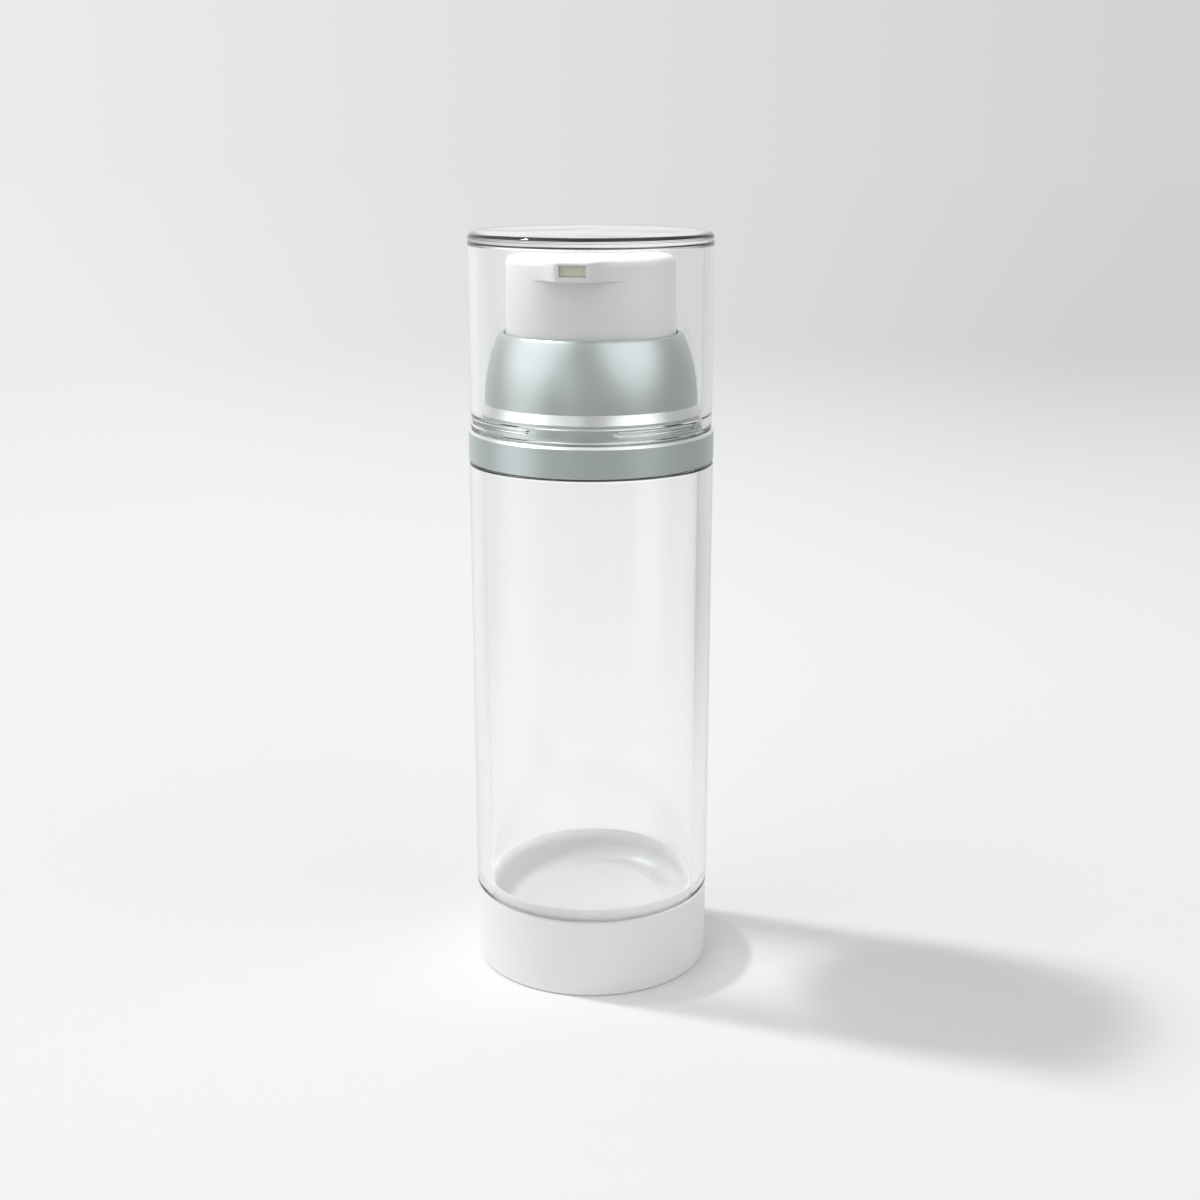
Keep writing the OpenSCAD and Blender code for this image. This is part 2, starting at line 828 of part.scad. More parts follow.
// Beige insert that closes the spout's duct with a narrow slit
module nozzle_insert() {
  insert_w = slot_w - 2 * run_gap;
  insert_h = slot_h - 2 * run_gap;
  slit_w = insert_w - 1;
  color(nozzle_beige)
    translate([0, -spout_tip + insert_set_back, slot_low + slot_h / 2])
      difference() {
        translate([-insert_w / 2, 0, -insert_h / 2])
          cube([insert_w, insert_l, insert_h]);
        translate([-slit_w / 2, -over, -slit_h / 2])
          cube([slit_w, insert_l + 2 * over, slit_h]);
      }
}

// Clear overcap with a widened mouth and four stretches of snap bead
module overcap() {
  mouth_h = 1.9;
  mouth_r = cap_bore_r + 0.2;
  bead_h = 0.9;
  bead_high = shell_seat - flange_chamfer_h - flange_lip_h - face_gap;
  bead_low = bead_high - bead_h;
  bead_mid = bead_high - bead_h / 2;
  color(clear_san) {
    rotate_extrude()
      difference() {
        disc2d(cap_r, cap_low, cap_top, cap_round);
        disc2d(cap_bore_r, cap_low - over, cap_ceiling, 0.5);
        polygon([
          [0, cap_low - over],
          [mouth_r + 0.2, cap_low - over],
          [mouth_r + 0.2, cap_low],
          [mouth_r, cap_low + 0.2],
          [mouth_r, cap_low + mouth_h],
          [0, cap_low + mouth_h + 0.2]
        ]);
      }
    for (i = [0 : 3])
      rotate([0, 0, 45 + i * 90 - cap_bead_arc / 2])
        rotate_extrude(angle = cap_bead_arc)
          polygon([
            [mouth_r + over, bead_low],
            [mouth_r, bead_low],
            [cap_bead_r, bead_mid - face_gap],
            [cap_bead_r, bead_mid + face_gap],
            [mouth_r, bead_high],
            [mouth_r + over, bead_high]
          ]);
  }
}

bottle_body();
base_cup();
follower_piston();
shoulder_ring();
band_ring();
collar_shell();
snap_collar();
neck_gasket();
pump_housing();
chaplet();
inlet_cage();
inlet_ball();
stem();
valve_pin();
stem_piston();
return_spring();
actuator();
nozzle_insert();
overcap();
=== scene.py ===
# %% [markdown]
# # A clear airless pump bottle
# The bottle stands on a pale sheet in soft daylight from the left. Nearly every piece of it was turned or
# moulded round one axis, so nearly every piece is drawn here as an outline that is turned round that axis.
# The frame comes first: it holds each solid of the pump at its real place, and every mesh has to sit on it.

# %% Load the fixed frame
import json
import math

import bmesh
import bpy
from mathutils import Matrix, Vector


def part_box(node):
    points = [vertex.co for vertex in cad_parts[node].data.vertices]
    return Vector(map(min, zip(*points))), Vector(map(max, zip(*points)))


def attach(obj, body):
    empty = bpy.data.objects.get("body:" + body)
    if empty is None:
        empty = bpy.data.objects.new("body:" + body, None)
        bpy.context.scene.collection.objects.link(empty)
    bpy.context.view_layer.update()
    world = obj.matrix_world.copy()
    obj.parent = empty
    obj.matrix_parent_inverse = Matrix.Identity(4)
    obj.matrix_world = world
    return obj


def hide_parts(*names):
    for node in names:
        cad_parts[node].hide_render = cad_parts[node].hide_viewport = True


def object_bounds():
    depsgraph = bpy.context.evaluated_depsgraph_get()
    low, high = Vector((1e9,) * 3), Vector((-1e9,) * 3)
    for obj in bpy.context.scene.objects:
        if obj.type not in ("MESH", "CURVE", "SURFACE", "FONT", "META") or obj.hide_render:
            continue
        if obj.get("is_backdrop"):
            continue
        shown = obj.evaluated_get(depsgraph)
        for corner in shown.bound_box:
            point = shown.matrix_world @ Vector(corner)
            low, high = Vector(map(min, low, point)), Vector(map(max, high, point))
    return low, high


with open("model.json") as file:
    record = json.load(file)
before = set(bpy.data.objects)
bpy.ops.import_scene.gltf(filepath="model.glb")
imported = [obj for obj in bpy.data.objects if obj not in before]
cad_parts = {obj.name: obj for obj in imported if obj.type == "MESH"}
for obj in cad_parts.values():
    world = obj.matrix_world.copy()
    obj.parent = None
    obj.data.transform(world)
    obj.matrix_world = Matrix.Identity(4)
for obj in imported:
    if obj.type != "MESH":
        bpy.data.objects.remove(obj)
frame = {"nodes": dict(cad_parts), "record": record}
CAD_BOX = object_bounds()
NODES = frame["nodes"]
MM = 0.001
print("box in mm:", [[round(c / MM, 2) for c in corner] for corner in CAD_BOX])

# %% [markdown]
# The camera was solved from 48 edges of the photograph. It looks down by 15 degrees from 27 cm away, and a
# little from the spout's right. An upright camera with its tilt in one angle keeps the sides true.

# %% Camera
YAW, TILT = math.radians(9.24), math.radians(15.344)
ASIDE, AWAY, ABOVE = 1.376 * MM, 268.99 * MM, 133.88 * MM
camera = bpy.data.objects.new("camera", bpy.data.cameras.new("camera"))
bpy.context.scene.collection.objects.link(camera)
camera.data.lens, camera.data.sensor_width = 52.315, 36
camera.data.clip_start = 0.01
camera.location = (
    ASIDE * math.cos(YAW) + AWAY * math.sin(YAW),
    ASIDE * math.sin(YAW) - AWAY * math.cos(YAW),
    ABOVE,
)
camera.rotation_euler = (math.pi / 2 - TILT, 0, YAW)
bpy.context.scene.camera = camera
print("camera at, in mm:", [round(c / MM, 1) for c in camera.location])

# %% [markdown]
# A material in Blender is a small graph of nodes. One function adds a node, sets its values and links its
# inputs, so that each material below reads as a list of what it holds. Colours are written as the hex values
# that a paint program shows, and are turned to the linear light that the renderer sums. No real surface is
# quite even, so three more functions make fine noise and turn it into uneven gloss or into relief.

# %% Helpers for materials


def linear(hex_colour):
    """An sRGB hex colour as linear red, green, blue and alpha."""
    parts = [int(hex_colour[i : i + 2], 16) / 255 for i in (1, 3, 5)]
    return [c / 12.92 if c <= 0.04045 else ((c + 0.055) / 1.055) ** 2.4 for c in parts] + [1.0]


def put(tree, kind, values=None, links=None, **settings):
    """Adds a node to a tree, with its settings, its input values and the sockets that feed it."""
    made = tree.nodes.new(kind)
    for name, value in settings.items():
        setattr(made, name, value)
    for name, value in (values or {}).items():
        made.inputs[name].default_value = value
    for name, source in (links or {}).items():
        tree.links.new(source, made.inputs[name])
    return made


def fresh(name):
    """A new material with an empty graph: the material, its tree and its output node."""
    made = bpy.data.materials.new(name)
    made.use_nodes = True
    made.node_tree.nodes.clear()
    return made, made.node_tree, put(made.node_tree, "ShaderNodeOutputMaterial")


def lumps(tree, size_mm, detail):
    """Noise that is fixed to the object, with lumps of a given size."""
    place = put(tree, "ShaderNodeTexCoord")
    values = {"Scale": 1 / (size_mm * MM), "Detail": detail}
    return put(tree, "ShaderNodeTexNoise", values, {"Vector": place.outputs["Object"]}).outputs[0]


def wander(tree, noise, low, high):
    """Noise turned into a value that wanders between two others."""
    return put(tree, "ShaderNodeMapRange", {"To Min": low, "To Max": high}, {"Value": noise}).outputs[0]


def relief(tree, noise, high_mm):
    """Noise turned into bumps of a given height."""
    values = {"Strength": 1.0, "Distance": high_mm * MM}
    return put(tree, "ShaderNodeBump", values, {"Height": noise}).outputs[0]


print("white is", linear("#ffffff"), "and mid grey is", round(linear("#808080")[0], 3))

# %% [markdown]
# Clear styrene acrylonitrile, or SAN, is moulded against polished steel. It bends light more than acrylic
# does, so its walls show as thin dark and bright lines at the sides. The melt leaves long faint waves in the
# wall. A path tracer can't follow sunlight through glass in a few samples, so rays that look for a lamp pass
# straight through, and lose more light where they graze the wall, as the real shadow's dark edges show.

# %% Clear moulded SAN
clear_san, tree, out = fresh("clear_san_polished_moulding")
WAVES_PER_M, WAVE_HIGH_MM = (90, 90, 9), 0.012
place = put(tree, "ShaderNodeTexCoord")
stretch = put(tree, "ShaderNodeMapping", {"Scale": WAVES_PER_M}, {"Vector": place.outputs["Object"]})
waves = put(tree, "ShaderNodeTexNoise", {"Scale": 1.0, "Detail": 1.0}, {"Vector": stretch.outputs[0]})
san = put(
    tree,
    "ShaderNodeBsdfPrincipled",
    {"Base Color": linear("#ffffff"), "Roughness": 0.0, "IOR": 1.57, "Transmission Weight": 1.0},
    {"Normal": relief(tree, waves.outputs[0], WAVE_HIGH_MM)},
)
graze = put(tree, "ShaderNodeLayerWeight", {"Blend": 0.5})
fade = put(tree, "ShaderNodeValToRGB", links={"Fac": graze.outputs["Facing"]})
fade.color_ramp.elements[0].position, fade.color_ramp.elements[0].color = 0.46, linear("#f7f8f8")
fade.color_ramp.elements[1].position, fade.color_ramp.elements[1].color = 0.95, linear("#9a9c9c")
through = put(tree, "ShaderNodeBsdfTransparent", links={"Color": fade.outputs[0]})
path = put(tree, "ShaderNodeLightPath")
both = put(
    tree,
    "ShaderNodeMixShader",
    links={0: path.outputs["Is Shadow Ray"], 1: san.outputs[0], 2: through.outputs[0]},
)
tree.links.new(both.outputs[0], out.inputs["Surface"])

# %% [markdown]
# Polypropylene, or PP, is a waxy white plastic, and polyethylene, or PE, is waxier still. The button and the
# base cup are PP and the follower is PE. They are moulded in steel with a fine satin finish, so their gloss
# is soft. Light goes a little way into the plastic, which softens the shade under the spout. A faint grain
# keeps the highlight from looking like paint. The hidden seals and the beige silicone are made the same way.

# %% Moulded PP, PE and silicone


def moulded(name, colour, roughness, depth, grain_mm, grain_high_mm, waxy=0.25):
    """A moulded plastic: colour, gloss, how deep light goes in mm, the tool's grain, and how waxy it is."""
    made, tree, out = fresh(name)
    grain = lumps(tree, grain_mm, 2.0)
    plastic = put(
        tree,
        "ShaderNodeBsdfPrincipled",
        {
            "Base Color": linear(colour),
            "IOR": 1.49,
            "Subsurface Weight": waxy,
            "Subsurface Radius": (depth * MM, depth * MM, depth * MM),
            "Subsurface Scale": 1.0,
        },
        {
            "Roughness": wander(tree, grain, roughness - 0.04, roughness + 0.04),
            "Normal": relief(tree, grain, grain_high_mm),
        },
    )
    tree.links.new(plastic.outputs[0], out.inputs["Surface"])
    return made


white_pp = moulded("white_pp_satin_moulding", "#eeefee", 0.34, 0.8, 0.35, 0.002)
white_pe = moulded("white_pe_satin_moulding", "#e8eae9", 0.30, 3.0, 0.5, 0.002, waxy=0.8)
natural_pp = moulded("natural_pp_milky_moulding", "#d9dbd8", 0.40, 2.0, 0.4, 0.003)
soft_pe = moulded("soft_pe_moulding", "#d6dadc", 0.50, 1.5, 0.4, 0.004)
beige_elastomer = moulded("beige_silicone_moulding", "#dddbc5", 0.55, 0.5, 0.2, 0.004)

# %% [markdown]
# The bell, the ring and the band are aluminium with a satin silver anodising. Etching before the anodising
# leaves pits of about 0.05 mm, which spread each reflection into a soft glow. They are too fine to show, so
# the grain is drawn three times as coarse. A metal keeps Blender's default IOR, since its colour does that
# work.

# %% Satin anodised aluminium


def metal(name, colour, bright, dull, mark_mm, detail, mark_deep_mm=None):
    """A metal: colour, the range of its roughness, the size and detail of its marks, and their depth."""
    made, tree, out = fresh(name)
    marks = lumps(tree, mark_mm, detail)
    links = {"Roughness": wander(tree, marks, bright, dull)}
    if mark_deep_mm:
        links["Normal"] = relief(tree, marks, mark_deep_mm)
    values = {"Base Color": linear(colour), "Metallic": 1.0}
    face = put(tree, "ShaderNodeBsdfPrincipled", values, links)
    tree.links.new(face.outputs[0], out.inputs["Surface"])
    return made


satin_silver = metal("satin_anodised_aluminium", "#c3cbcb", 0.30, 0.38, 0.15, 2.0, mark_deep_mm=0.002)

# %% [markdown]
# The chamfers get a whiter, glossier copy of the silver, so that these thin rings reflect about half as much
# again as the satin faces: a painted highlight, for the light that the real chamfers catch from above. Its
# uneven gloss comes from marks of 0.15 mm. Only their uneven gloss is drawn, three times as coarse.

# %% Silver with a painted highlight
# A brighter copy of the satin silver: painted highlight.
highlight_silver = metal("silver_with_painted_highlight", "#f1f3f3", 0.16, 0.24, 0.15, 1.0)

# %% [markdown]
# The spring's wire is drawn through a die, which roughens it a little, and the inlet ball is ground and
# polished. Both are stainless steel and sit out of sight under the button.

# %% Drawn and polished steel
spring_steel = metal("stainless_spring_wire_drawn", "#b9babb", 0.22, 0.38, 0.1, 3.0)
polished_steel = metal("stainless_ball_polished", "#cfd0d1", 0.04, 0.10, 0.3, 3.0)
print("materials:", ", ".join(sorted(m.name for m in bpy.data.materials)))

# %% [markdown]
# A turned piece is a closed outline in radius and height, walked with the plastic on its left. Real mould
# edges are never sharp: each corner of the outline has a radius, and the arc that rounds it catches a line
# of light. The shading normals come from the outline itself, so flat walls stay flat right up to the arcs,
# which Blender's own averaging can't do. That matters most for clear walls, where a wrong normal bends the
# view.

# %% Turning an outline
AROUND = 144
FINE = [360 * i / AROUND for i in range(AROUND)]


def rounded(outline, closed):
    """Rounds an outline's corners: points as radius, height and their normal, or None where it curves."""
    points = []
    count = len(outline)
    for i, (r, z, corner) in enumerate(outline):
        here = Vector((r, z))
        if corner is None:
            points.append((r, z, None))
            continue
        if not closed and i in (0, count - 1):
            other = outline[1 if i == 0 else count - 2]
            way = (Vector(other[:2]) - here) * (1 if i == 0 else -1)
            points.append((r, z, Vector((way.y, -way.x)).normalized()))
            continue
        before = here - Vector(outline[i - 1][:2])
        after = Vector(outline[(i + 1) % count][:2]) - here
        n0, n1 = (Vector((w.y, -w.x)).normalized() for w in (before, after))
        turn = n0.angle_signed(n1)
        cut = min(corner * math.tan(abs(turn) / 2), 0.49 * before.length, 0.49 * after.length)
        steps = max(2, math.ceil(abs(turn) / math.radians(18)))
        radius = cut / math.tan(abs(turn) / 2) if abs(turn) > 1e-6 else 0
        start = here - before.normalized() * cut
        side = 1 if n0.cross(n1) > 0 else -1
        centre = start - n0 * radius * side
        for k in range(steps + 1):
            n = n0.slerp(n1, k / steps)
            points.append((*(centre + n * radius * side), n))
    return points


def skin(name, rings, normals, closed):
    """A smooth mesh over rings of points, with the given normals where there are any."""
    verts, faces, shading, first = [], [], [], []
    for ring, ns in zip(rings, normals):
        first.append(len(verts))
        flat = max(math.hypot(p[0], p[1]) for p in ring) < 1e-6
        verts += [tuple(c * MM for c in p) for p in (ring[:1] if flat else ring)]
        shading += ns[:1] if flat else ns
    first.append(len(verts))
    around = max(b - a for a, b in zip(first, first[1:]))
    last = len(rings) if closed else len(rings) - 1
    for i in range(last):
        k = (i + 1) % len(rings)
        a, b = first[i], first[k]
        one_a, one_b = first[i + 1] - a == 1, first[k + 1] - b == 1
        for j in range(around):
            m = (j + 1) % around
            lower = [a, a] if one_a else [a + j, a + m]
            upper = [b, b] if one_b else [b + m, b + j]
            face = list(dict.fromkeys(lower + upper))
            if len(face) > 2:
                faces.append(face)
    mesh = bpy.data.meshes.new(name)
    mesh.from_pydata(verts, [], faces)
    mesh.shade_smooth()
    mesh.normals_split_custom_set_from_vertices(shading)
    return mesh


def turned(name, outline, closed=True, angles=FINE, form=None):
    """A mesh turned from an outline in mm. A form moves its points: from r, z and angle it gives r and z."""
    points = rounded(outline, closed)
    rings, normals = [], []
    for r, z, _ in points:
        ring = []
        for angle in angles:
            radius, height = form(r, z, angle) if form else (r, z)
            spin = math.radians(angle)
            ring.append(Vector((radius * math.cos(spin), radius * math.sin(spin), height)))
        rings.append(ring)
    count = len(angles)
    for i, (r, z, n) in enumerate(points):
        row = []
        for j, angle in enumerate(angles):
            spin = math.radians(angle)
            unmoved = Vector((r * math.cos(spin), r * math.sin(spin), z))
            if n is None or (form and (rings[i][j] - unmoved).length > 1e-4):
                low, high = rings[max(i - 1, 0)][j], rings[min(i + 1, len(rings) - 1)][j]
                across = rings[i][(j + 1) % count] - rings[i][j - 1]
                found = across.cross(high - low)
                row.append(found.normalized() if found.length > 1e-9 else Vector((0, 0, 1)))
            else:
                row.append(Vector((n.x * math.cos(spin), n.x * math.sin(spin), n.y)))
        normals.append(row)
    return skin(name, rings, normals, closed)


def stand(name, mesh, material, body, slot, *nodes):
    """Puts a mesh in the scene as a piece that rides a body and stands for its CAD nodes."""
    piece = bpy.data.objects.new(name, mesh)
    bpy.context.scene.collection.objects.link(piece)
    mesh.materials.append(material)
    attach(piece, body)
    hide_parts(*nodes)
    size = [max(v.co[k] for v in mesh.vertices) - min(v.co[k] for v in mesh.vertices) for k in range(3)]
    want = [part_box(nodes[0])[1][k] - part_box(nodes[0])[0][k] for k in range(3)]
    off = max(abs(a - b) for a, b in zip(size, want)) / MM
    print(f"{name}: {len(mesh.polygons)} faces, {off:.2f} mm from the solid's size")
    return piece


# %% [markdown]
# The barrel's wall is 2.3 mm thick, so it reads as two outlines with clear plastic between them. Its foot is
# stepped to plug into the base cup and its top is stepped for the silver band, which hides the shoulder. The
# neck above the shoulder carries the bead that the pump snaps onto. The step is drawn 0.02 mm into the cup,
# as two pressed faces touch: with air between them, the clear wall would mirror there instead of showing
# white.

# %% Clear barrel
BARREL_R, BORE_R, FOOT_R, SUNK = 19.0, 16.7, 17.6, 0.02
FOOT_LOW, BASE_TOP, BAND_LOW, CEILING, SHOULDER, BAND_SEAT_R = 2.5, 12.6, 83.1, 83.3, 85.5, 18.3
NECK_R, NECK_BORE_R, NECK_BEAD_R, NECK_BEAD, NECK_TOP = 13.2, 11.3, 13.7, 88.1, 91.0
barrel_outline = [
    (FOOT_R, FOOT_LOW, 0.15),
    (FOOT_R, BASE_TOP - SUNK, 0.1),
    (BARREL_R, BASE_TOP - SUNK, 0.12),
    (BARREL_R, BAND_LOW, 0.4),
    (BAND_SEAT_R, BAND_LOW, 0.1),
    (BAND_SEAT_R, SHOULDER, 0.2),
    (NECK_R, SHOULDER, 0.3),
    (NECK_R, NECK_BEAD - 0.8, 0.1),
    (NECK_BEAD_R, NECK_BEAD - 0.3, 0.1),
    (NECK_BEAD_R, NECK_BEAD, 0.1),
    (NECK_R, NECK_BEAD + 0.6, 0.2),
    (NECK_R, NECK_TOP, 0.15),
    (NECK_BORE_R, NECK_TOP, 0.15),
    (NECK_BORE_R, CEILING, 0.2),
    (BORE_R, CEILING, 0.4),
    (BORE_R, FOOT_LOW, 0.15),
]
barrel_mesh = turned("clear_barrel", barrel_outline)
stand("clear_barrel", barrel_mesh, clear_san, "bottle", "clear_san", "bottle_body")

# %% [markdown]
# The overcap is a thick clear cup turned upside down. Its top edge has a radius of 0.9 mm, which bends the
# view into a grey rim, and four short beads inside its mouth snap past the shoulder ring. The beads are
# drawn by moving the mouth's own points inward, so the wall stays one piece of clear plastic.

# %% Clear overcap
CAP_R, CAP_BORE_R, CAP_MOUTH_R, CAP_BEAD_R = 18.75, 17.15, 17.35, 16.95
CAP_LOW, CAP_CEILING, CAP_TOP = 88.5, 116.4, 118.0
BEAD_LOW, BEAD_HIGH, BEAD_ARC, BEAD_RUN_OUT, BEAD_COUNT = 89.35, 90.25, 50, 3, 4
cap_outline = [
    (0, CAP_CEILING, 0),
    (CAP_BORE_R, CAP_CEILING, 0.5),
    (CAP_BORE_R, CAP_LOW + 2.1, 0.1),
    (CAP_MOUTH_R, CAP_LOW + 1.9, 0.05),
    *[(CAP_MOUTH_R, BEAD_HIGH - (BEAD_HIGH - BEAD_LOW) * k / 6, None) for k in range(7)],
    (CAP_MOUTH_R, CAP_LOW + 0.2, 0.1),
    (CAP_MOUTH_R + 0.2, CAP_LOW, 0.1),
    (CAP_R, CAP_LOW, 0.2),
    (CAP_R, CAP_TOP, 0.9),
    (0, CAP_TOP, 0),
]


def snap_beads(r, z, angle):
    """Moves the mouth's points inward along each stretch of bead, whose ends run out over a few degrees."""
    if not (BEAD_LOW < z < BEAD_HIGH and abs(r - CAP_MOUTH_R) < 0.01):
        return r, z
    pitch = 360 / BEAD_COUNT
    off = abs(angle % pitch - pitch / 2)
    reach = min(max((BEAD_ARC / 2 - off) / BEAD_RUN_OUT, 0), 1)
    hump = math.sin(math.pi * (z - BEAD_LOW) / (BEAD_HIGH - BEAD_LOW))
    return r - (CAP_MOUTH_R - CAP_BEAD_R) * reach * hump, z


cap_mesh = turned("clear_overcap", cap_outline, closed=False, form=snap_beads)
stand("clear_overcap", cap_mesh, clear_san, "overcap", "clear_san", "overcap")

# %% [markdown]
# Ribs stiffen moulded parts where nobody sees them. They aren't round, so they are added to a turned mesh as
# bars with softened edges, which end inside the walls that they join.

# %% Ribs for turned pieces


def ribbed(mesh, ribs, soft=0.1):
    """Joins bars to a mesh: each has its turn about the axis in degrees and two opposite corners in mm."""
    bm = bmesh.new()
    bm.from_mesh(mesh)
    for turn, low, high in ribs:
        spin = Matrix.Rotation(math.radians(turn), 3, "Z")
        ends = list(zip(low, high))
        at = [bm.verts.new(spin @ Vector((x, y, z)) * MM) for x in ends[0] for y in ends[1] for z in ends[2]]
        sides = [(0, 1, 3, 2), (4, 6, 7, 5), (0, 4, 5, 1), (2, 3, 7, 6), (0, 2, 6, 4), (1, 5, 7, 3)]
        faces = [bm.faces.new([at[k] for k in side]) for side in sides]
        edges = list({e for face in faces for e in face.edges})
        bmesh.ops.bevel(bm, geom=edges, offset=soft * MM, segments=2, profile=0.5, affect="EDGES")
    bm.to_mesh(mesh)
    bm.free()


# %% [markdown]
# The base cup is a plain white cup with a step of 0.1 mm to the barrel. Under it a foot ring keeps the floor
# off the table, and a small vent lets air in below the follower. Six ribs inside it stop the follower.

# %% White base cup
BASE_R, BASE_BORE_R, FLOOR_TOP, FOOT_RECESS, FOOT_RING, VENT_R = 18.9, 17.65, 2.1, 0.9, 2.6, 0.75
base_outline = [
    (VENT_R, FOOT_RECESS, 0.1),
    (BASE_R - FOOT_RING, FOOT_RECESS, 0.3),
    (BASE_R - FOOT_RING, 0, 0.3),
    (BASE_R, 0, 0.5),
    (BASE_R, BASE_TOP, 0.12),
    (BASE_BORE_R, BASE_TOP, 0.2),
    (BASE_BORE_R, FLOOR_TOP, 0.3),
    (VENT_R, FLOOR_TOP, 0.1),
]
CUP_RIB_LOW, CUP_RIB_HIGH = (4.0, -0.45, FLOOR_TOP - 0.3), (14.65, 0.45, FLOOR_TOP + 1.85)
base_mesh = turned("white_base_cup", base_outline)
ribbed(base_mesh, [(60 * k, CUP_RIB_LOW, CUP_RIB_HIGH) for k in range(6)])
stand("white_base_cup", base_mesh, white_pp, "bottle", "white_pp", "base_cup")

# %% [markdown]
# The follower rises under the cream and is what shows at the foot of the empty barrel. Two lips at its ends
# scrape the wall. Its top is a dish whose wall curves from a thin rim to a shallow bowl, which mirrors the
# underside of the pump, so that the last of the cream is pushed out.

# %% White follower
FOLLOWER_R, FOLLOWER_LOW, FOLLOWER_TOP, LIP_H, RELIEF, TOP_LIP_H = 16.65, 4.0, 14.3, 1.4, 0.35, 2.2
EDGE_Z, EDGE_R, BOWL_SAG, SKIRT_BORE_R = 9.5, 11.2, 1.4, 15.2
RIM_R, RIM_FALL, SHELF, SHELF_RISE = 16.15, 0.3, 0.8, 0.1
BOWL = (EDGE_R**2 + BOWL_SAG**2) / (2 * BOWL_SAG)
bowl_curve = [
    (EDGE_R * k / 12, EDGE_Z - BOWL_SAG + BOWL - math.sqrt(BOWL**2 - (EDGE_R * k / 12) ** 2), None)
    for k in range(11, 0, -1)
]
SHELF_R, SHELF_Z = EDGE_R + SHELF, EDGE_Z + SHELF_RISE
WALL_WIDE, WALL_HIGH = RIM_R - SHELF_R, FOLLOWER_TOP - RIM_FALL - SHELF_Z
dish_wall = [
    (
        SHELF_R + WALL_WIDE * math.cos(math.radians(t)),
        SHELF_Z + WALL_HIGH * (1 - math.sin(math.radians(t))),
        None,
    )
    for t in range(0, 91, 9)
]
follower_outline = [
    (0, EDGE_Z - BOWL_SAG - 1.05, 0),
    (EDGE_R * 0.6, EDGE_Z - BOWL_SAG - 0.65, 1),
    (EDGE_R, EDGE_Z - 1.3, 0.5),
    (SKIRT_BORE_R - 1.65, EDGE_Z - 0.55, 0.3),
    (SKIRT_BORE_R, EDGE_Z - 0.8, 0.3),
    (SKIRT_BORE_R, FOLLOWER_LOW, 0.15),
    (FOLLOWER_R, FOLLOWER_LOW, 0.1),
    (FOLLOWER_R, FOLLOWER_LOW + LIP_H, 0.1),
    (FOLLOWER_R - RELIEF, FOLLOWER_LOW + LIP_H, 0.1),
    (FOLLOWER_R - RELIEF, FOLLOWER_TOP - TOP_LIP_H, 0.1),
    (FOLLOWER_R, FOLLOWER_TOP - TOP_LIP_H, 0.1),
    (FOLLOWER_R, FOLLOWER_TOP, 0.2),
    (RIM_R, FOLLOWER_TOP, 0.2),
    *dish_wall,
    (EDGE_R + 0.25, EDGE_Z + 0.08, 0.4),
    *bowl_curve,
    (0, EDGE_Z - BOWL_SAG, 0),
]
follower_mesh = turned("white_follower", follower_outline, closed=False)
stand("white_follower", follower_mesh, white_pe, "follower", "white_pe", "follower_piston")

# %% [markdown]
# Three silver pieces close the barrel: a band that is flush with it, a ring whose spigot holds the overcap,
# and a bell round the button. The chamfers of the band and of the ring are what shine, so they keep crisp
# edges. The bell's side is one arc that leaves the ring upright.

# %% Silver band, ring and bell
BAND_R, BAND_BORE_R, BAND_TOP, BAND_CHAMFER = 19.05, 18.35, 88.2, 0.4
SPIGOT_R, SPIGOT_BORE_R, FLANGE_R, SEAT_R, SEAT = 16.6, 15.45, 16.85, 16.5, 92.5
FLANGE_LOW, FLANGE_HIGH, CORE_LOW_R, CORE_HIGH_R, CORE_TOP = 90.3, 91.0, 16.875, 18.075, 86.9
band_outline = [
    (BAND_BORE_R, BAND_LOW, 0.05),
    (BAND_R - BAND_CHAMFER, BAND_LOW, 0.05),
    (BAND_R, BAND_LOW + BAND_CHAMFER, 0.1),
    (BAND_R, BAND_TOP - BAND_CHAMFER, 0.1),
    (BAND_R - BAND_CHAMFER, BAND_TOP, 0.05),
    (BAND_BORE_R, BAND_TOP, 0.05),
]
ring_outline = [
    (SPIGOT_BORE_R, SHOULDER, 0.05),
    (CORE_LOW_R, SHOULDER, 0.05),
    (CORE_LOW_R, CORE_TOP, 0.1),
    (CORE_HIGH_R, CORE_TOP, 0.1),
    (CORE_HIGH_R, SHOULDER, 0.05),
    (BAND_SEAT_R, SHOULDER, 0.05),
    (BAND_SEAT_R, BAND_TOP, 0.1),
    (SPIGOT_R, BAND_TOP, 0.1),
    (SPIGOT_R, FLANGE_LOW, 0.08),
    (FLANGE_R, FLANGE_LOW, 0.05),
    (FLANGE_R, FLANGE_HIGH, 0.1),
    (SEAT_R, SEAT, 0.05),
    (SPIGOT_BORE_R, SEAT, 0.05),
]


def paint_chamfer_highlight(mesh, *cuts):
    """Gives the brighter silver, a painted highlight, to faces between two heights and outside a radius, all
    in mm.
    """
    mesh.materials.append(highlight_silver)
    for face in mesh.polygons:
        height, radius = face.center.z / MM, math.hypot(*face.center.xy) / MM
        if any(low < height < high and radius > least for low, high, least in cuts):
            face.material_index = 1


band_mesh = turned("silver_band", band_outline)
stand("silver_band", band_mesh, satin_silver, "bottle", "satin_silver", "band_ring")
# The band's two chamfers get the brighter silver: a painted highlight.
HIGHLIGHT_R = BAND_R - BAND_CHAMFER - 0.02
paint_chamfer_highlight(band_mesh, (BAND_LOW, BAND_LOW + BAND_CHAMFER, HIGHLIGHT_R), (BAND_TOP - BAND_CHAMFER, BAND_TOP, HIGHLIGHT_R))
ring_mesh = turned("silver_shoulder_ring", ring_outline)
stand("silver_shoulder_ring", ring_mesh, satin_silver, "bottle", "satin_silver", "shoulder_ring")
# The ring's top chamfer gets the brighter silver: a painted highlight.
paint_chamfer_highlight(ring_mesh, (FLANGE_HIGH, SEAT, SEAT_R - 0.02))

